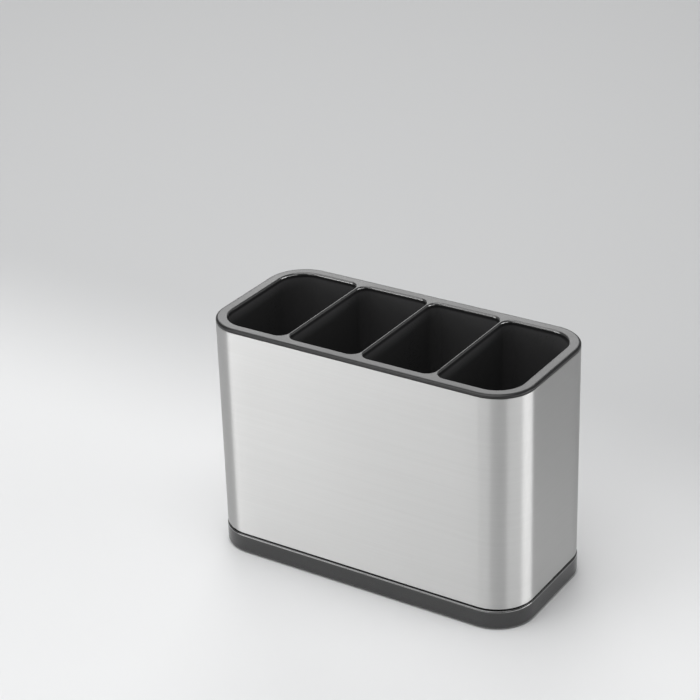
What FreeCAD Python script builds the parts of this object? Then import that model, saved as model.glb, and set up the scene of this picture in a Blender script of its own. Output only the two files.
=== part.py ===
import FreeCAD
import Part
import math
import os

# Cutlery holder, in millimetres. A brushed steel sleeve stands on a moulded drip tray,
# and a moulded insert with a row of compartments hangs in the sleeve's mouth by its rim.
# X runs along the row of compartments, Y from front to back, Z up from the worktop.

# Steel sleeve, measured over its outside
sleeve_length = 166.0
sleeve_depth = 77.0
sleeve_height = 107.2
corner_radius = 19.0
sheet_thickness = 0.8
sheet_edge_round = 0.25

# Drip tray under the sleeve
foot_lift = 0.8
skirt_height = 9.2
skirt_proud = 0.3
skirt_wall = 2.2
skirt_top_round = 0.7
skirt_foot_round = 0.8
shadow_gap = 1.0
shadow_depth = 0.5
upstand_height = 8.6
upstand_wall = 1.8
upstand_lead_in = 0.6
underside_hollow = 2.2
tray_floor = 2.0
tray_floor_round = 2.0
rib_thickness = 1.4
rib_height = 1.5
rib_count = 3

# Non-slip feet, pressed into collars under the tray
foot_diameter = 13.0
foot_edge_bevel = 0.5
foot_inset_x = 23.0
foot_inset_y = 18.5
collar_wall = 1.5
collar_height = 1.4
foot_gap = 0.2

# Compartment insert
compartment_count = 4
rim_width = 5.7
rim_height = 1.8
rim_round = 1.4
mouth_land = 1.2
locating_wall = 1.2
locating_height = 6.0
insert_depth = 96.0
insert_wall = 1.8
insert_floor = 2.0
insert_foot_round = 2.5
wall_lean = 1.2
divider_thickness = 1.8
divider_lean = 0.3
compartment_corner = 5.0
compartment_floor_round = 3.0
lip_round = 0.8

# Drain slots in each compartment's floor
slot_width = 3.0
slot_length = 20.0
slot_columns = 3
slot_rows = 2
slot_pitch_x = 9.0
slot_pitch_y = 27.0

# Clearance between the sleeve and the two mouldings that enter it
sliding_gap = 0.3

# Heights above the worktop
ledge_z = foot_lift + skirt_height
seat_z = ledge_z + shadow_gap
sleeve_top_z = seat_z + sleeve_height
rim_top_z = sleeve_top_z + rim_height
hollow_top_z = foot_lift + underside_hollow
tray_floor_z = hollow_top_z + tray_floor
upstand_top_z = seat_z + upstand_height
lean_start_z = sleeve_top_z - mouth_land
insert_foot_z = rim_top_z - insert_depth
compartment_floor_z = insert_foot_z + insert_floor

# Two lip rounds may not use up the divider that carries them
lip_share_of_divider = 0.45
lip_round_used = min(lip_round, lip_share_of_divider * divider_thickness)
height_tolerance = 1e-4


def vector(x, y, z):
    return FreeCAD.Vector(x, y, z)


def rounded_outline(x_low, x_high, y_low, y_high, z, radii):
    """Closed wire of a rectangle with round corners, its radii counter-clockwise from front left."""
    corners = [(x_low, y_low), (x_high, y_low), (x_high, y_high), (x_low, y_high)]
    inward = [(1, 1), (-1, 1), (-1, -1), (1, -1)]
    arcs = []
    for index, (corner, side, radius) in enumerate(zip(corners, inward, radii)):
        centre_x = corner[0] + side[0] * radius
        centre_y = corner[1] + side[1] * radius
        arc = []
        for step in (0, 45, 90):
            angle = math.radians(180 + 90 * index + step)
            arc.append(vector(centre_x + radius * math.cos(angle), centre_y + radius * math.sin(angle), z))
        arcs.append(arc)
    edges = []
    for arc, following in zip(arcs, arcs[1:] + arcs[:1]):
        edges.append(Part.Arc(*arc).toShape())
        if arc[2].distanceToPoint(following[0]) > height_tolerance:
            edges.append(Part.LineSegment(arc[2], following[0]).toShape())
    return Part.Wire(edges)


def plan_outline(offset, z):
    """Outline of the sleeve's plan, moved outwards by offset, at height z."""
    half_length = sleeve_length / 2 + offset
    half_depth = sleeve_depth / 2 + offset
    radii = [corner_radius + offset] * 4
    return rounded_outline(-half_length, half_length, -half_depth, half_depth, z, radii)


def plan_slab(offset, z_low, z_high):
    """Upright solid on the sleeve's plan, moved outwards by offset."""
    return Part.Face(plan_outline(offset, z_low)).extrude(vector(0, 0, z_high - z_low))


def plan_ring(outer_offset, wall, z_low, z_high):
    """Upright wall on the sleeve's plan, from outer_offset inwards."""
    return plan_slab(outer_offset, z_low, z_high).cut(plan_slab(outer_offset - wall, z_low, z_high))


def edges_at(shape, z):
    """Edges of a shape that lie wholly at height z."""
    found = []
    for edge in shape.Edges:
        box = edge.BoundBox
        if abs(box.ZMin - z) < height_tolerance and abs(box.ZMax - z) < height_tolerance:
            found.append(edge)
    return found


def steel_sleeve():
    """Tube of sheet, open at both ends, with its sharp outer edges broken."""
    sheet = plan_slab(0, seat_z, sleeve_top_z)
    sheet = sheet.makeFillet(sheet_edge_round, edges_at(sheet, seat_z) + edges_at(sheet, sleeve_top_z))
    return sheet.cut(plan_slab(-sheet_thickness, seat_z, sleeve_top_z))


def lean_share(z):
    """Share of its whole lean that a wall has reached at height z, below the upright land at the mouth."""
    return (lean_start_z - z) / (lean_start_z - insert_foot_z)


def wall_lean_at(z):
    """How far the insert's outer walls have leaned inwards at height z."""
    return wall_lean * lean_share(z)


def divider_lean_at(z):
    """How far each face of a divider has leaned outwards at height z."""
    return divider_lean * lean_share(z)


def land_above(outline, z_high):
    """Upright solid from an outline at the start of the lean up to z_high."""
    return Part.Face(outline).extrude(vector(0, 0, z_high - lean_start_z))


def compartment_span(index):
    """Left and right side of a compartment at the rim."""
    span = sleeve_length - 2 * rim_width
    width = (span - (compartment_count - 1) * divider_thickness) / compartment_count
    left = -span / 2 + index * (width + divider_thickness)
    return left, left + width


def compartment_outline(index, z):
    """Outline of one compartment at height z. The end ones follow the sleeve's corners."""
    left, right = compartment_span(index)
    half_depth = sleeve_depth / 2 - rim_width - wall_lean_at(z)
    end_corner = corner_radius - rim_width - wall_lean_at(z)
    is_first = index == 0
    is_last = index == compartment_count - 1
    left += wall_lean_at(z) if is_first else divider_lean_at(z)
    right -= wall_lean_at(z) if is_last else divider_lean_at(z)
    left_corner = end_corner if is_first else compartment_corner
    right_corner = end_corner if is_last else compartment_corner
    radii = [left_corner, right_corner, right_corner, left_corner]
    return rounded_outline(left, right, -half_depth, half_depth, z, radii)


def compartment_space(index):
    """The space inside one compartment: a rounded foot, leaning walls and an upright mouth."""
    mouth = compartment_outline(index, lean_start_z)
    space = Part.makeLoft([compartment_outline(index, compartment_floor_z), mouth], True, True)
    space = space.makeFillet(compartment_floor_round, edges_at(space, compartment_floor_z))
    return space.fuse(land_above(mouth, rim_top_z))


def drain_slots(index):
    """Slots through one compartment's floor, in rows and columns about its middle."""
    left, right = compartment_span(index)
    middle = (left + right) / 2
    slots = []
    for column in range(slot_columns):
        x = middle + (column - (slot_columns - 1) / 2) * slot_pitch_x
        for row in range(slot_rows):
            y = (row - (slot_rows - 1) / 2) * slot_pitch_y
            sides = (x - slot_width / 2, x + slot_width / 2, y - slot_length / 2, y + slot_length / 2)
            outline = rounded_outline(*sides, insert_foot_z, [slot_width / 2] * 4)
            slots.append(Part.Face(outline).extrude(vector(0, 0, insert_floor)))
    return slots


def insert_shell():
    """The insert's leaning outer walls, from its foot up to the rim, as a solid block."""
    wall_offset = insert_wall - rim_width
    foot = plan_outline(wall_offset - wall_lean_at(insert_foot_z), insert_foot_z)
    mouth = plan_outline(wall_offset, lean_start_z)
    shell = Part.makeLoft([foot, mouth], True, True)
    shell = shell.makeFillet(insert_foot_round, edges_at(shell, insert_foot_z))
    return shell.fuse(land_above(mouth, sleeve_top_z))


def mouth_edges(shape):
    """Edges of the compartments' mouths, which lie inside the rim's width."""
    inside_x = sleeve_length / 2 - rim_width + height_tolerance
    inside_y = sleeve_depth / 2 - rim_width + height_tolerance
    found = []
    for edge in edges_at(shape, rim_top_z):
        box = edge.BoundBox
        if max(abs(box.XMin), abs(box.XMax)) < inside_x and max(abs(box.YMin), abs(box.YMax)) < inside_y:
            found.append(edge)
    return found


def compartment_insert():
    """Rim, locating wall and compartments, moulded in one piece."""
    rim = plan_slab(0, sleeve_top_z, rim_top_z)
    rim = rim.makeFillet(rim_round, edges_at(rim, rim_top_z))
    locating_offset = -sheet_thickness - sliding_gap
    locating = plan_ring(locating_offset, locating_wall, sleeve_top_z - locating_height, sleeve_top_z)
    body = rim.fuse([locating, insert_shell()])
    for index in range(compartment_count):
        body = body.cut([compartment_space(index)] + drain_slots(index))
    body = body.removeSplitter()
    return body.makeFillet(lip_round_used, mouth_edges(body))


def foot_centres():
    """Plan positions of the feet, with the name of each."""
    x = sleeve_length / 2 - foot_inset_x
    y = sleeve_depth / 2 - foot_inset_y
    return {"front_left": (-x, -y), "front_right": (x, -y), "rear_left": (-x, y), "rear_right": (x, y)}


def upright_disc(centre, radius, z_low, z_high):
    return Part.makeCylinder(radius, z_high - z_low, vector(centre[0], centre[1], z_low))


def tray_ribs():
    """Stiffening ribs in the hollow under the tray: one lengthwise, the rest across."""
    half_length = sleeve_length / 2 + skirt_proud - skirt_wall / 2
    half_depth = sleeve_depth / 2 + skirt_proud - skirt_wall / 2
    low_z = hollow_top_z - rib_height
    start = vector(-half_length, -rib_thickness / 2, low_z)
    ribs = [Part.makeBox(2 * half_length, rib_thickness, rib_height, start)]
    pitch = 2 * half_length / (rib_count + 1)
    for index in range(rib_count):
        x = -half_length + (index + 1) * pitch - rib_thickness / 2
        ribs.append(Part.makeBox(rib_thickness, 2 * half_depth, rib_height, vector(x, -half_depth, low_z)))
    return ribs


def foot_collars():
    """Rings under the tray that the feet sit in."""
    bore = foot_diameter / 2 + foot_gap
    low_z = hollow_top_z - collar_height
    collars = []
    for centre in foot_centres().values():
        ring = upright_disc(centre, bore + collar_wall, low_z, hollow_top_z)
        collars.append(ring.cut(upright_disc(centre, bore, low_z, hollow_top_z)))
    return collars


def drip_tray():
    """Shallow tray with a skirt that shows, a seat for the sleeve and an upstand inside it."""
    skirt = plan_slab(skirt_proud, foot_lift, ledge_z)
    skirt = skirt.makeFillet(skirt_foot_round, edges_at(skirt, foot_lift))
    skirt = skirt.makeFillet(skirt_top_round, edges_at(skirt, ledge_z))
    seat = plan_slab(-shadow_depth, ledge_z, seat_z)
    upstand_offset = -sheet_thickness - sliding_gap
    upstand = plan_slab(upstand_offset, seat_z, upstand_top_z)
    upstand = upstand.makeChamfer(upstand_lead_in, edges_at(upstand, upstand_top_z))
    well = plan_slab(upstand_offset - upstand_wall, tray_floor_z, upstand_top_z)
    well = well.makeFillet(tray_floor_round, edges_at(well, tray_floor_z))
    hollow = plan_slab(skirt_proud - skirt_wall, foot_lift, hollow_top_z)
    tray = skirt.fuse([seat, upstand]).cut([well, hollow])
    tray = tray.fuse(tray_ribs() + foot_collars())
    return tray.removeSplitter()


def non_slip_foot(centre):
    """Soft disc stuck to the underside of the tray, standing a little below its skirt."""
    foot = upright_disc(centre, foot_diameter / 2, 0, hollow_top_z)
    return foot.makeChamfer(foot_edge_bevel, edges_at(foot, 0))


def build():
    parts = {
        "steel_sleeve": steel_sleeve(),
        "compartment_insert": compartment_insert(),
        "drip_tray": drip_tray(),
    }
    for name, centre in foot_centres().items():
        parts["foot_" + name] = non_slip_foot(centre)
    os.makedirs("parts", exist_ok=True)
    for name, shape in parts.items():
        shape.exportStep(os.path.join("parts", name + ".step"))
        box = shape.optimalBoundingBox(False, False)
        size = "%.1f x %.1f x %.1f mm" % (box.XLength, box.YLength, box.ZLength)
        state = "valid" if shape.isValid() else "not valid"
        print("%-20s %d solid, %s, %s, %.0f mm3" % (name, len(shape.Solids), state, size, shape.Volume))


build()
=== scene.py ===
import math

import bmesh
import bpy
import numpy as np
from mathutils import Matrix, Vector


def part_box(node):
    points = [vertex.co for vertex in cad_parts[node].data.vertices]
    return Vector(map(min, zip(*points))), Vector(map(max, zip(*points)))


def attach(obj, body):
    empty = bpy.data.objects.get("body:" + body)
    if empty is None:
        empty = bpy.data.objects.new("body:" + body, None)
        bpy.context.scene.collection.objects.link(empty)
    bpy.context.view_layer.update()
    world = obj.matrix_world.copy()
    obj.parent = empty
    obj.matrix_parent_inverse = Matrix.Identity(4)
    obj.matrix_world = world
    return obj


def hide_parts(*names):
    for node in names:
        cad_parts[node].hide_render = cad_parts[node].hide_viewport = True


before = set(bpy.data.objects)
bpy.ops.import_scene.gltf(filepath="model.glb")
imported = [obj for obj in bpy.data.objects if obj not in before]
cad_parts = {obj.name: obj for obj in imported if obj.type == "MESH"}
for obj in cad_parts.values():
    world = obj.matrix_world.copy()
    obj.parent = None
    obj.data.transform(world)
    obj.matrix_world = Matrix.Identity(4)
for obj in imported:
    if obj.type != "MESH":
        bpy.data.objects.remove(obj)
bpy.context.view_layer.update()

mm = 0.001
print("frame loaded:", len(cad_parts), "parts")

sleeveLow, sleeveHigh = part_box("steel_sleeve")
insertLow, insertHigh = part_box("compartment_insert")
trayLow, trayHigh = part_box("drip_tray")

# The plan that the sleeve, the tray and the insert share
plan = dict(
    length=sleeveHigh.x - sleeveLow.x,
    depth=sleeveHigh.y - sleeveLow.y,
    corner=19.0 * mm,  # outer corner radius
    seatZ=sleeveLow.z,
    rimZ=sleeveHigh.z,
)

# Mesh resolution
grid = dict(
    arcSteps=20,  # in a corner of the plan
    sideSteps=6,  # in a straight stretch of the plan
    roundSteps=6,  # in a round of a profile
    support=0.3 * mm,  # from a round to the point that keeps its flat face flat
    almost=0.99,  # share of a side that one round may take
    straight=1e-4,  # radians, below which a corner has no round
    tiny=1e-9,
    weld=1e-6,
    sharpDegrees=32,
)


# Places of a row of equal things about 0: (index - (count - 1) / 2) * pitch
def rowPlaces(count, pitch):
    return [(index - (count - 1) / 2) * pitch for index in range(count)]


# Rings of a rectangle with round corners, one for each height in z, counter-clockwise from the front left.
# A corner's point is centre + radius * (cos, sin) over a quarter turn. A side runs straight between its
# knots, and each stretch is eased with (1 - cos) / 2 so that points crowd towards the knots.
def ringStack(x0, x1, y0, y1, z, radii, xKnots=(), yKnots=()):
    limits = [np.atleast_1d(np.asarray(limit, float)) for limit in (x0, x1, y0, y1, z)]
    x0, x1, y0, y1, z = np.broadcast_arrays(*limits)
    radii = [np.broadcast_to(np.maximum(radius, 0.0), z.shape) for radius in radii]
    turn = np.radians(np.linspace(0, 90, grid["arcSteps"] + 1))
    centres = [
        (x0 + radii[0], y0 + radii[0], math.pi),
        (x1 - radii[1], y0 + radii[1], 1.5 * math.pi),
        (x1 - radii[2], y1 - radii[2], 0.0),
        (x0 + radii[3], y1 - radii[3], 0.5 * math.pi),
    ]
    arcs = []
    for (centreX, centreY, start), radius in zip(centres, radii):
        arcX = centreX[:, None] + radius[:, None] * np.cos(start + turn)
        arcY = centreY[:, None] + radius[:, None] * np.sin(start + turn)
        arcs.append(np.stack([arcX, arcY], -1))
    knots = [sorted(xKnots), sorted(yKnots), sorted(xKnots)[::-1], sorted(yKnots)[::-1]]
    parts = []
    for side in range(4):
        first, last = arcs[side][:, -1:], arcs[(side + 1) % 4][:, :1]
        inner = np.repeat(first, len(knots[side]), axis=1)
        inner[:, :, side % 2] = knots[side]
        stops = np.concatenate([first, inner, last], axis=1)
        t = np.arange(1, grid["sideSteps"] * (stops.shape[1] - 1)) / grid["sideSteps"]
        span = t.astype(int)
        ease = (0.5 - 0.5 * np.cos(np.pi * (t - span)))[None, :, None]
        parts += [arcs[side], stops[:, span] * (1 - ease) + stops[:, span + 1] * ease]
    flat = np.concatenate(parts, axis=1)
    height = np.broadcast_to(z[:, None, None], flat.shape[:2] + (1,))
    return np.concatenate([flat, height], axis=2)


# A polyline with round corners, each given as (across, up, radius). With a and b along a corner's two
# sides and half of the angle between them, its arc turns about corner + (a + b) / |a + b| * radius /
# sin(half). Each straight stretch gets a point near either end, which keeps it flat when shaded.
def roundProfile(corners, closed=False):
    corners = np.asarray(corners, float)
    points, radii = corners[:, :2], corners[:, 2]
    back = np.roll(points, 1, axis=0) - points
    ahead = np.roll(points, -1, axis=0) - points
    if not closed:
        back[0], ahead[-1] = -ahead[0], -back[-1]
    a = back / np.linalg.norm(back, axis=1, keepdims=True)
    b = ahead / np.linalg.norm(ahead, axis=1, keepdims=True)
    half = np.arccos(np.clip((a * b).sum(1), -1, 1)) / 2
    reach = (radii / np.tan(half))[:, None]
    middle = (a + b) / np.maximum(np.linalg.norm(a + b, axis=1, keepdims=True), grid["tiny"])
    centre = points + middle * (radii / np.sin(half))[:, None]
    t = np.linspace(0, 1, grid["roundSteps"] + 1)[None, :, None]
    u = (points + a * reach - centre)[:, None, :]
    v = (points + b * reach - centre)[:, None, :]
    sweep = (math.pi - 2 * half)[:, None, None]
    swept = np.sin((1 - t) * sweep) * u + np.sin(t * sweep) * v
    arc = np.where(sweep > grid["straight"], swept / np.maximum(np.sin(sweep), grid["tiny"]), u)
    arcs = centre[:, None, :] + arc
    start, end = arcs[:, -1], np.roll(arcs, -1, axis=0)[:, 0]
    length = np.linalg.norm(end - start, axis=1)
    share = np.minimum(grid["support"] / np.maximum(length, grid["tiny"]), 1 / 3)[:, None]
    near = (start * (1 - share) + end * share)[:, None]
    far = (start * share + end * (1 - share))[:, None]
    line = np.concatenate([arcs, near, far], axis=1).reshape(-1, 2)
    return line if closed else line[:-2]


# A profile carried round the plan: point (offset, z) becomes the plan moved outwards by offset, at height z
def carryRoundPlan(profile, xKnots=(), yKnots=()):
    offset, z = profile[:, 0], profile[:, 1]
    halfX, halfY = plan["length"] / 2 + offset, plan["depth"] / 2 + offset
    return ringStack(-halfX, halfX, -halfY, halfY, z, [plan["corner"] + offset] * 4, xKnots, yKnots)


# A profile turned about an upright axis: point (radius, z) becomes a circle
def turnProfile(profile, centre):
    r, z = profile[:, 0], profile[:, 1]
    return ringStack(centre[0] - r, centre[0] + r, centre[1] - r, centre[1] + r, z, [r] * 4)


# Quads between neighbouring rings: point j of ring i joins point j + 1 and ring i + 1, and a ring's last
# point meets its first
def skinFaces(rows, columns, closed):
    i = np.arange(rows if closed else rows - 1)[:, None]
    j = np.arange(columns)[None, :]
    nextI, nextJ = (i + 1) % rows, (j + 1) % columns
    quads = [i * columns + j, i * columns + nextJ, nextI * columns + nextJ, nextI * columns + j]
    return np.stack(np.broadcast_arrays(*quads), -1).reshape(-1, 4)


def addObject(name, data):
    made = bpy.data.objects.new(name, data)
    bpy.context.scene.collection.objects.link(made)
    return made


# One object from several skins of rings, welded where they meet, smooth with its real edges sharp
def makePiece(name, body, node, material, skins, closed=False):
    faces, start = [], 0
    for rings in skins:
        faces.append(skinFaces(rings.shape[0], rings.shape[1], closed) + start)
        start += rings.shape[0] * rings.shape[1]
    points = np.concatenate([rings.reshape(-1, 3) for rings in skins])
    mesh = bpy.data.meshes.new(name)
    mesh.from_pydata(points.tolist(), [], np.concatenate(faces).tolist())
    work = bmesh.new()
    work.from_mesh(mesh)
    bmesh.ops.remove_doubles(work, verts=work.verts, dist=grid["weld"])
    bmesh.ops.dissolve_degenerate(work, edges=work.edges, dist=grid["weld"])
    work.to_mesh(mesh)
    work.free()
    mesh.shade_smooth()
    mesh.set_sharp_from_angle(angle=math.radians(grid["sharpDegrees"]))
    mesh.materials.append(material)
    piece = addObject(name, mesh)
    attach(piece, body)
    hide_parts(node)
    print("piece", name, len(mesh.polygons), "faces")


# A number, colour or vector on a shader link. Arithmetic on a number adds Math nodes.
class Wire:
    def __init__(self, paint, socket):
        self.paint, self.socket = paint, socket

    def maths(self, operation, first, second):
        return self.paint.node("ShaderNodeMath", dict(operation=operation), {0: first, 1: second})

    def __add__(self, other):
        return self.maths("ADD", self, other)

    def __radd__(self, other):
        return self.maths("ADD", other, self)

    def __sub__(self, other):
        return self.maths("SUBTRACT", self, other)

    def __rsub__(self, other):
        return self.maths("SUBTRACT", other, self)

    def __mul__(self, other):
        return self.maths("MULTIPLY", self, other)

    def __rmul__(self, other):
        return self.maths("MULTIPLY", other, self)


# A material with a Principled shader, and one method that adds any node to it
class Paint:
    def __init__(self, name, **constants):
        self.material = bpy.data.materials.new(name)
        self.material.use_nodes = True
        self.tree = self.material.node_tree
        self.shader = self.tree.nodes["Principled BSDF"]
        self.finish(**constants)

    def node(self, kind, settings=None, inputs=None, output=0):
        made = self.tree.nodes.new(kind)
        for key, value in (settings or {}).items():
            setattr(made, key, value)
        for key, value in (inputs or {}).items():
            self.put(made.inputs[key], value)
        return Wire(self, made.outputs[output])

    def put(self, socket, value):
        if isinstance(value, Wire):
            self.tree.links.new(value.socket, socket)
        else:
            socket.default_value = value

    def finish(self, **sockets):  # Base_Color stands for the socket Base Color
        for socket, value in sockets.items():
            self.put(self.shader.inputs[socket.replace("_", " ")], value)
        return self.material

    def vector(self, operation, a, b=(0, 0, 0), output="Vector"):
        return self.node("ShaderNodeVectorMath", dict(operation=operation), {0: a, 1: b}, output)

    def objectPoint(self, scale):
        return self.vector("MULTIPLY", self.node("ShaderNodeTexCoord", output="Object"), scale)

    def along(self, axis):
        return self.node("ShaderNodeSeparateXYZ", None, {0: self.objectPoint((1, 1, 1))}, output=axis)

    def noise(self, scale, detail, roughness=0.5):
        inputs = dict(Vector=self.objectPoint(scale), Scale=1.0, Detail=detail, Roughness=roughness)
        return self.node("ShaderNodeTexNoise", None, inputs, output="Fac")

    def between(self, value, low, high):  # 0 below low, 1 above high, eased
        inputs = {"Value": value, "From Min": low, "From Max": high}
        return self.node("ShaderNodeMapRange", dict(interpolation_type="SMOOTHSTEP"), inputs)

    def band(self, value, low, high, soft):  # 1 from low to high, fading out over soft
        return self.between(value, low - soft, low) - self.between(value, high, high + soft)

    # Depth inside the plan's outline: corner radius - length of max(|point| - core, 0)
    def inward(self):
        core = (plan["length"] / 2 - plan["corner"], plan["depth"] / 2 - plan["corner"], 0)
        past = self.vector("SUBTRACT", self.vector("ABSOLUTE", self.objectPoint((1, 1, 0))), core)
        return plan["corner"] - self.vector("LENGTH", self.vector("MAXIMUM", past), output="Value")

    def blend(self, factor, dark, light):
        dark, light = [tone if isinstance(tone, Wire) else (*tone, 1) for tone in (dark, light)]
        inputs = {"Factor": factor, 6: dark, 7: light}  # 6 and 7 are the node's two colours
        return self.node("ShaderNodeMix", dict(data_type="RGBA"), inputs, output=2)

    def bump(self, height, distance, strength):
        return self.node("ShaderNodeBump", None, dict(Height=height, Distance=distance, Strength=strength))


noiseMiddle = 0.5  # a noise swings about this

# Brushed steel: noise stretched into streaks, long round the sheet and fine up it, over a slow cloud
steel = dict(
    dark=(0.50, 0.50, 0.495), light=(0.64, 0.64, 0.635),
    roughness=0.40, grainSpread=0.16, cloudSpread=0.05,
    anisotropy=0.95, turn=0.25,  # a quarter turn draws the gloss out up the sheet
    fineStreak=(14, 14, 3200), longStreak=(5, 5, 620), cloud=(9, 9, 14),  # per metre along X, Y and Z
    fineShare=0.6, cloudShare=0.3,
    scratchDepth=0.012 * mm, scratchStrength=0.35,
)


def brushedSteel():
    gloss = dict(Anisotropic=steel["anisotropy"], Anisotropic_Rotation=steel["turn"])
    paint = Paint("brushedSteel", Metallic=1.0, **gloss)
    fine = paint.noise(steel["fineStreak"], detail=3.0, roughness=0.6)
    streak = paint.noise(steel["longStreak"], detail=2.0)
    cloud = paint.noise(steel["cloud"], detail=1.0)
    grain = fine * steel["fineShare"] + streak * (1 - steel["fineShare"])
    tone = grain * (1 - steel["cloudShare"]) + cloud * steel["cloudShare"]
    rough = steel["roughness"] + (grain - noiseMiddle) * steel["grainSpread"]
    return paint.finish(
        Base_Color=paint.blend(tone, steel["dark"], steel["light"]),
        Roughness=rough + (cloud - noiseMiddle) * steel["cloudSpread"],
        Normal=paint.bump(grain, steel["scratchDepth"], steel["scratchStrength"]),
    )


# Moulded plastics: fine grain for the bump, slower flow for tone and gloss, a coat on shiny edges, and on
# the insert painted light on the walls
moulding = dict(
    flow=(38, 38, 16),  # per metre along X, Y and Z
    flowShare=0.75, bumpStrength=0.5,
    coatIor=2.0, coatRoughness=0.1, coatSoft=0.2 * mm,
    paintedLightFade=1.0 * mm,  # depth below the rim over which the walls' lighter painted-light tones take over
)
insertFinish = dict(
    tones=((0.011, 0.011, 0.0113), (0.016, 0.016, 0.0164)),
    # The wall tones are painted light: the same plastic as the rim, made lighter to stand in for light
    # inside the compartments
    paintedLightWallTones=((0.050, 0.050, 0.051), (0.066, 0.066, 0.067)),
    roughness=0.30, spread=0.10, specular=0.4, grainScale=2600, grainDepth=0.015 * mm,
    glossy=dict(  # the lips and the dividers
        inward=(4.7 * mm, plan["depth"]),  # from this depth inside the outline to the middle
        height=(plan["rimZ"] + 0.4 * mm, plan["rimZ"] + 1.6 * mm),
    ),
)
trayFinish = dict(
    tones=((0.006, 0.006, 0.0062), (0.011, 0.011, 0.0113)),
    roughness=0.20, spread=0.12, specular=0.9, grainScale=2100, grainDepth=0.025 * mm,
    glossy=dict(  # the skirt's upper edge
        inward=(-plan["depth"], 0.35 * mm),  # from outside to this depth inside the outline
        height=(plan["seatZ"] - 1.7 * mm, plan["seatZ"] - 0.9 * mm),
    ),
)
footFinish = dict(
    tones=((0.085, 0.085, 0.088), (0.12, 0.12, 0.124)),
    roughness=0.80, spread=0.12, specular=0.3, grainScale=1500, grainDepth=0.03 * mm,
)


def mouldedPlastic(
    name, tones, roughness, spread, specular, grainScale, grainDepth, paintedLightWallTones=None, glossy=None
):
    coat = dict(Coat_IOR=moulding["coatIor"], Coat_Roughness=moulding["coatRoughness"])
    paint = Paint(name, Specular_IOR_Level=specular, **coat)
    grain = paint.noise((grainScale,) * 3, detail=2.0, roughness=0.55)
    flow = paint.noise(moulding["flow"], detail=3.0)
    mottle = flow * moulding["flowShare"] + grain * (1 - moulding["flowShare"])
    colour = paint.blend(mottle, *tones)
    # Painted light: the walls below the rim get lighter tones than the rim, standing in for light reaching
    # down into the compartments
    if paintedLightWallTones:
        rim = paint.between(paint.along("Z"), plan["rimZ"] - moulding["paintedLightFade"], plan["rimZ"])
        colour = paint.blend(rim, paint.blend(mottle, *paintedLightWallTones), colour)
    if glossy:
        deep = paint.band(paint.inward(), *glossy["inward"], moulding["coatSoft"])
        high = paint.band(paint.along("Z"), *glossy["height"], moulding["coatSoft"])
        paint.finish(Coat_Weight=deep * high)
    return paint.finish(
        Base_Color=colour,
        Roughness=roughness + (flow - noiseMiddle) * spread + (grain - noiseMiddle) * spread,
        Normal=paint.bump(grain, grainDepth, moulding["bumpStrength"]),
    )


steelPaint = brushedSteel()
insertPaint = mouldedPlastic("insertPlastic", **insertFinish)
trayPaint = mouldedPlastic("trayPlastic", **trayFinish)
footPaint = mouldedPlastic("footRubber", **footFinish)
print("materials mixed")

# Steel sleeve: a closed profile of the bent sheet, carried round the plan
sleeve = dict(sheet=0.8 * mm, outerRound=0.25 * mm, innerRound=0.15 * mm)


def brushedSleeve():
    low, high, inside = plan["seatZ"], plan["rimZ"], -sleeve["sheet"]
    outerRound, innerRound = sleeve["outerRound"], sleeve["innerRound"]
    corners = [
        (0, low, outerRound), (0, high, outerRound),
        (inside, high, innerRound), (inside, low, innerRound),
    ]
    rings = carryRoundPlan(roundProfile(corners, closed=True))
    makePiece("brushedSleeve", "sleeve", "steel_sleeve", steelPaint, [rings], closed=True)


brushedSleeve()

# Drip tray: a skin for the tray, and one for each rib and collar under it
tray = dict(
    skirtProud=0.3 * mm, skirtWall=2.2 * mm, topRound=0.7 * mm, footRound=0.8 * mm,
    shadowGap=1.0 * mm, shadowDepth=0.5 * mm, undercut=0.5 * mm, edgeRound=0.1 * mm,
    entryGap=0.3 * mm, upstandWall=1.8 * mm, leadIn=0.6 * mm, wellRound=0.2 * mm,
    hollow=2.2 * mm, hollowRound=0.3 * mm, floor=2.0 * mm, floorRound=2.0 * mm,
    ribThick=1.4 * mm, ribHeight=1.5 * mm, crossRibs=3, ribRound=0.35 * mm,
    collarWall=1.5 * mm, collarHeight=1.4 * mm, collarGap=0.2 * mm, collarRound=0.3 * mm,
    sunk=0.3 * mm,  # how far ribs and collars reach into what carries them
)
footNames = ["front_left", "front_right", "rear_left", "rear_right"]
footBoxes = {name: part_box("foot_" + name) for name in footNames}
hollowTop = trayLow.z + tray["hollow"]
skirtInside = tray["skirtProud"] - tray["skirtWall"]


# The tray's open profile, from the middle of the underside over the skirt and the upstand to the middle
# of the well, carried round the plan, where both ends close along the middle line
def trayBody():
    middle, wellFloor, edge = -plan["depth"] / 2, hollowTop + tray["floor"], tray["edgeRound"]
    proud, low, ledge = tray["skirtProud"], trayLow.z, plan["seatZ"] - tray["shadowGap"]
    recess, upstand = -tray["shadowDepth"], -sleeve["sheet"] - tray["entryGap"]
    well = upstand - tray["upstandWall"]
    return carryRoundPlan(roundProfile([
        (middle, hollowTop, 0), (skirtInside, hollowTop, tray["hollowRound"]),
        (skirtInside, low, tray["hollowRound"]), (proud, low, tray["footRound"]),
        (proud, ledge, tray["topRound"]), (recess - tray["undercut"], ledge, edge),
        (recess, plan["seatZ"], edge), (upstand, plan["seatZ"], edge),
        (upstand, trayHigh.z - tray["leadIn"], edge), (upstand - tray["leadIn"], trayHigh.z, edge),
        (well, trayHigh.z, tray["wellRound"]), (well, wellFloor, tray["floorRound"]),
        (middle, wellFloor, 0),
    ]))


# A rib: a rectangle drawn in by a profile with a round lower edge, whose ends close on its middle
def underRib(x0, x1, y0, y1):
    half = min(x1 - x0, y1 - y0) / 2
    low, high = hollowTop - tray["ribHeight"], hollowTop + tray["sunk"]
    inset, z = roundProfile([(half, low, 0), (0, low, tray["ribRound"]), (0, high, 0), (half, high, 0)]).T
    return ringStack(x0 + inset, x1 - inset, y0 + inset, y1 - inset, z, [0] * 4)


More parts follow.
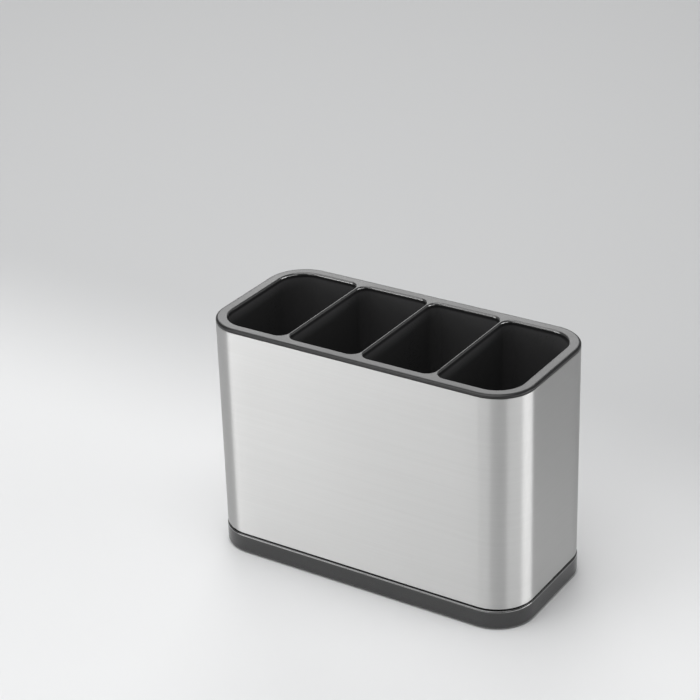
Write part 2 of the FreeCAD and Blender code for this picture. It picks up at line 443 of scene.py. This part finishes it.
# A collar round a foot: a turned profile whose two ends meet inside the floor
def footCollar(low, high):
    bore = (high.x - low.x) / 2 + tray["collarGap"]
    rim = bore + tray["collarWall"]
    collarLow, collarHigh = hollowTop - tray["collarHeight"], hollowTop + tray["sunk"]
    meeting = ((bore + rim) / 2, collarHigh, 0)
    lower = [(bore, collarLow, tray["collarRound"]), (rim, collarLow, tray["collarRound"])]
    profile = roundProfile([meeting, (bore, collarHigh, 0), *lower, (rim, collarHigh, 0), meeting])
    return turnProfile(profile, ((low.x + high.x) / 2, (low.y + high.y) / 2))


def dripTray():
    reach = skirtInside + tray["sunk"]
    halfX, halfY, half = plan["length"] / 2 + reach, plan["depth"] / 2 + reach, tray["ribThick"] / 2
    skins = [trayBody(), underRib(-halfX, halfX, -half, half)]
    pitch = (plan["length"] + 2 * tray["skirtProud"] - tray["skirtWall"]) / (tray["crossRibs"] + 1)
    for x in rowPlaces(tray["crossRibs"], pitch):
        skins.append(underRib(x - half, x + half, -halfY, halfY))
    for low, high in footBoxes.values():
        skins.append(footCollar(low, high))
    makePiece("dripTray", "tray", "drip_tray", trayPaint, skins)


dripTray()

# Soft feet: a turned profile with shallow grip rings under it
foot = dict(
    edge=0.5 * mm, topRound=0.1 * mm,
    gripStarts=(1.6 * mm, 3.6 * mm), gripWidth=0.8 * mm, gripDepth=0.25 * mm, gripRound=0.15 * mm,
)


def softFoot(name):
    low, high = footBoxes[name]
    radius, dip, gripRound = (high.x - low.x) / 2, low.z + foot["gripDepth"], foot["gripRound"]
    corners = [(0, low.z, 0)]
    for start in foot["gripStarts"]:
        end = start + foot["gripWidth"]
        corners += [(start, low.z, gripRound), (start + gripRound, dip, 0)]
        corners += [(end - gripRound, dip, 0), (end, low.z, gripRound)]
    corners += [(radius, low.z, foot["edge"]), (radius, high.z, foot["topRound"]), (0, high.z, 0)]
    rings = turnProfile(roundProfile(corners), ((low.x + high.x) / 2, (low.y + high.y) / 2))
    pieceName = "softFoot" + name.title().replace("_", "")
    makePiece(pieceName, "tray", "foot_" + name, footPaint, [rings])


for name in footNames:
    softFoot(name)

# Compartment insert: skins for the outside, each compartment, each slot and the underside, welded together
insert = dict(
    count=4, divider=1.8 * mm, dividerLean=0.3 * mm, corner=5.0 * mm, leastCorner=0.5 * mm,
    rimWidth=5.7 * mm, crownWide=1.6 * mm, crownTall=0.9 * mm, underRound=0.25 * mm,
    locatingGap=0.3 * mm, locatingWall=1.2 * mm, locatingHeight=6.0 * mm, locatingRound=0.3 * mm,
    wall=1.8 * mm, wallLean=1.2 * mm, mouthLand=1.2 * mm,  # walls start to lean below the land
    footRound=2.5 * mm, floor=2.0 * mm, floorRound=3.0 * mm,
    lipWide=0.8 * mm, lipTall=1.2 * mm,
    lipStretch=4.0 * mm, footStretch=8.0 * mm,  # ends of the wall that have rings of their own
    slotColumns=3, slotRows=2, slotPitchX=9.0 * mm, slotPitchY=27.0 * mm,
    slotWidth=3.0 * mm, slotLength=20.0 * mm, slotEdge=0.3 * mm, slotMargin=0.8 * mm,
    pad=0.02 * mm,  # flat face left beyond a round
)

# Places that follow from those sizes
rimTop, insertFoot = insertHigh.z, insertLow.z
floorTop = insertFoot + insert["floor"]
leanStart = plan["rimZ"] - insert["mouthLand"]
shellTop = insert["wall"] - insert["rimWidth"]
shellFoot = shellTop - insert["wallLean"]
footFlat = shellFoot - insert["footRound"]
bayPitch = (plan["length"] - 2 * insert["rimWidth"] + insert["divider"]) / insert["count"]
bayWidth = bayPitch - insert["divider"]
bayMiddles = rowPlaces(insert["count"], bayPitch)
slotXs = rowPlaces(insert["slotColumns"], insert["slotPitchX"])
slotYs = rowPlaces(insert["slotRows"], insert["slotPitchY"])
columnKnots = rowPlaces(insert["slotColumns"] - 1, insert["slotPitchX"])
rowKnots = rowPlaces(insert["slotRows"] - 1, insert["slotPitchY"])
fieldX = slotXs[-1] + insert["slotWidth"] / 2 + insert["slotMargin"]
fieldY = slotYs[-1] + insert["slotLength"] / 2 + insert["slotMargin"]


# The outside, carried round the plan: up the leaning wall, down and up round the locating wall and over
# the rim, which ends in a crown, a quarter circle stretched across by crownWide / crownTall
def insertOutside():
    rimZ, under, tall = plan["rimZ"], insert["underRound"], insert["crownTall"]
    locatingOuter = -sleeve["sheet"] - insert["locatingGap"]
    locatingInner = locatingOuter - insert["locatingWall"]
    locatingLow = rimZ - insert["locatingHeight"]
    outside = roundProfile([
        (footFlat, insertFoot, 0), (shellFoot, insertFoot, insert["footRound"] * grid["almost"]),
        (shellTop, leanStart, 0), (shellTop, rimZ, under),
        (locatingInner, rimZ, under), (locatingInner, locatingLow, insert["locatingRound"]),
        (locatingOuter, locatingLow, insert["locatingRound"]), (locatingOuter, rimZ, under),
        (0, rimZ, under), (0, rimTop - tall, 0),
    ])
    quarter = roundProfile([(0, -tall, 0), (0, 0, tall * grid["almost"]), (-tall, 0, 0)])
    crown = quarter * (insert["crownWide"] / tall, 1) + (0, rimTop)
    knots = rowPlaces(insert["count"] - 1, bayPitch)
    for middle in bayMiddles:
        knots += [middle + x for x in columnKnots]
    return carryRoundPlan(np.concatenate([outside, crown]), knots, rowKnots)


# Rings of one compartment, with knots where the slots' cells meet
def bayRings(middle, x0, x1, halfY, z, radii):
    return ringStack(x0, x1, -halfY, halfY, z, radii, [middle + x for x in columnKnots], rowKnots)


# Corner radii of one compartment: those at an end follow the plan's corners, the others meet a divider
def bayRadii(first, last, atEnd, atDivider):
    left, right = atEnd if first else atDivider, atEnd if last else atDivider
    return [left, right, right, left]


# The walls: over an elliptical lip, down and round to the floor, each ring drawn in by its inset and its
# lean, which is the whole lean * (leanStart - z) / (leanStart - insertFoot)
def bayWalls(middle, first, last):
    wide, pad, floorRound = insert["lipWide"], insert["pad"], insert["floorRound"]
    lip = roundProfile([(-wide - pad, 0, 0), (0, 0, wide), (0, -insert["lipStretch"], 0)])
    lip = lip * (1, insert["lipTall"] / wide) + (0, rimTop)
    bowl = roundProfile([(0, insert["footStretch"], 0), (0, 0, floorRound), (floorRound + pad, 0, 0)])
    inset, z = np.concatenate([lip, bowl + (0, floorTop)]).T
    fall = np.clip((leanStart - z) / (leanStart - insertFoot), 0, 1)
    atWall, atDivider = inset + fall * insert["wallLean"], inset + fall * insert["dividerLean"]
    x0 = middle - bayWidth / 2 + (atWall if first else atDivider)
    x1 = middle + bayWidth / 2 - (atWall if last else atDivider)
    endCorner = plan["corner"] - insert["rimWidth"] - atWall
    innerCorner = np.maximum(insert["corner"] - inset, insert["leastCorner"])
    halfY = plan["depth"] / 2 - insert["rimWidth"] - atWall
    return bayRings(middle, x0, x1, halfY, z, bayRadii(first, last, endCorner, innerCorner))


# One compartment's share of a flat face: out to the plan moved by offset and its dividers' middles
def bayShare(middle, first, last, offset, z):
    halfX, halfY = plan["length"] / 2 + offset, plan["depth"] / 2 + offset
    x0 = -halfX if first else middle - bayPitch / 2
    x1 = halfX if last else middle + bayPitch / 2
    return bayRings(middle, x0, x1, halfY, z, bayRadii(first, last, plan["corner"] + offset, 0))


# The slots of one floor: each runs from its cell's edge over a small round, down and out to the cell below
def baySlots(middle):
    pad, slotEdge = insert["pad"], insert["slotEdge"]
    edge, z = roundProfile([(slotEdge + pad, floorTop, 0), (0, floorTop, slotEdge), (0, insertFoot, 0)]).T
    halfWide, halfLong = insert["slotWidth"] / 2 + edge, insert["slotLength"] / 2 + edge
    cellX = [middle + x for x in (-fieldX, *columnKnots, fieldX)]
    cellY = [-fieldY, *rowKnots, fieldY]
    skins = []
    for column, across in enumerate(slotXs):
        for row, y in enumerate(slotYs):
            x = middle + across
            cell = (cellX[column], cellX[column + 1], cellY[row], cellY[row + 1])
            above, below = [ringStack(*cell, level, [0] * 4) for level in (floorTop, insertFoot)]
            slot = ringStack(x - halfWide, x + halfWide, y - halfLong, y + halfLong, z, [halfWide] * 4)
            skins.append(np.concatenate([above, slot, below]))
    return skins


def compartmentInsert():
    skins = [insertOutside()]
    for index, middle in enumerate(bayMiddles):
        ends = (index == 0, index == insert["count"] - 1)
        rim = bayShare(middle, *ends, -insert["crownWide"], rimTop)
        underside = bayShare(middle, *ends, footFlat, insertFoot)
        above, below = [
            bayRings(middle, middle - fieldX, middle + fieldX, fieldY, level, [0] * 4)
            for level in (floorTop, insertFoot)
        ]
        skins.append(np.concatenate([rim, bayWalls(middle, *ends), above]))
        skins.append(np.concatenate([below, underside]))
        skins += baySlots(middle)
    makePiece("compartmentInsert", "insert", "compartment_insert", insertPaint, skins)


compartmentInsert()
print("pieces built")

# Camera, from the photograph's own perspective. Azimuths run from the front towards +X, in degrees.
view = dict(
    azimuth=33.19, elevation=26.32, roll=-1.82, distance=977.9 * mm,
    target=(-30.86 * mm, 8.75 * mm, 97.40 * mm), lens=106.1, sensor=36.0, clip=(0.01, 60.0),
)


# Unit vector at an azimuth and an elevation: (sin a * cos e, -cos a * cos e, sin e)
def outwards(azimuth, elevation):
    a, e = math.radians(azimuth), math.radians(elevation)
    return Vector((math.sin(a) * math.cos(e), -math.cos(a) * math.cos(e), math.sin(e)))


def placeCamera():
    back = outwards(view["azimuth"], view["elevation"])
    right = outwards(view["azimuth"] + 90, 0)
    up = back.cross(right)
    roll = math.radians(view["roll"])
    tiltRight = right * math.cos(roll) + up * math.sin(roll)
    tiltUp = up * math.cos(roll) - right * math.sin(roll)
    lens = bpy.data.cameras.new("photoCamera")
    lens.lens, lens.sensor_width = view["lens"], view["sensor"]
    lens.clip_start, lens.clip_end = view["clip"]
    camera = addObject("photoCamera", lens)
    place = Vector(view["target"]) + back * view["distance"]
    turn = Matrix((tiltRight, tiltUp, back)).transposed().to_4x4()
    camera.matrix_world = Matrix.Translation(place) @ turn
    bpy.context.scene.camera = camera


placeCamera()

# Plain studio: a pale floor with painted shade greying it behind the holder, a dim even world and soft
# boxes
studio = dict(
    floorHalf=8.0, floorRoughness=0.6, floorSpecular=0.25,
    frontTone=(0.82, 0.825, 0.83), backPaintedShade=(0.58, 0.585, 0.59),
    paintedShadeRamp=(0.02, 0.20),  # metres along Y, from the front tone to the painted shade behind
    world=(0.25, 0.25, 0.25), aimHeight=0.06,
    boxes=dict(
        keyLeft=dict(azimuth=-41, elevation=8, distance=5.5, size=(2.4, 1.75), power=68),
        lipLight=dict(azimuth=-26, elevation=24, distance=2.2, size=(0.4, 0.5), power=2.0),
        lowFront=dict(azimuth=-5, elevation=6, distance=5.5, size=(3.3, 1.1), power=24),
        fillRight=dict(azimuth=74, elevation=6, distance=5.5, size=(4.1, 1.1), power=49),
        stripRight=dict(azimuth=112, elevation=6, distance=5.5, size=(3.3, 1.1), power=106),
        overhead=dict(azimuth=-30, elevation=76, distance=1.8, size=(2.0, 2.0), power=28),
        topBack=dict(azimuth=213, elevation=25, distance=6.0, size=(3.3, 1.9), power=76),
    ),
)


def softBox(name, azimuth, elevation, distance, size, power):
    light = bpy.data.lights.new(name, "AREA")
    light.shape, light.energy = "RECTANGLE", power
    light.size, light.size_y = size
    out = outwards(azimuth, elevation)
    place = Vector((0, 0, studio["aimHeight"])) + out * distance
    turn = out.to_track_quat("Z", "Y").to_matrix().to_4x4()
    addObject(name, light).matrix_world = Matrix.Translation(place) @ turn


def paleFloor():
    half = studio["floorHalf"]
    mesh = bpy.data.meshes.new("floor")
    corners = [(-half, -half, 0), (half, -half, 0), (half, half, 0), (-half, half, 0)]
    mesh.from_pydata(corners, [], [(0, 1, 2, 3)])
    gloss = dict(Roughness=studio["floorRoughness"], Specular_IOR_Level=studio["floorSpecular"])
    paint = Paint("paleFloor", **gloss)
    # Painted shade: the floor's colour greys towards the back, where less light falls
    toPaintedShade = paint.between(paint.along("Y"), *studio["paintedShadeRamp"])
    colour = paint.blend(toPaintedShade, studio["frontTone"], studio["backPaintedShade"])
    mesh.materials.append(paint.finish(Base_Color=colour))
    floor = addObject("floor", mesh)


def dimWorld():
    world = bpy.data.worlds.new("studio")
    world.use_nodes = True
    world.node_tree.nodes["Background"].inputs["Color"].default_value = (*studio["world"], 1)
    bpy.context.scene.world = world


paleFloor()
dimWorld()
for name, box in studio["boxes"].items():
    softBox(name, **box)
bpy.context.scene.view_settings.view_transform = "Standard"
print("studio lit")
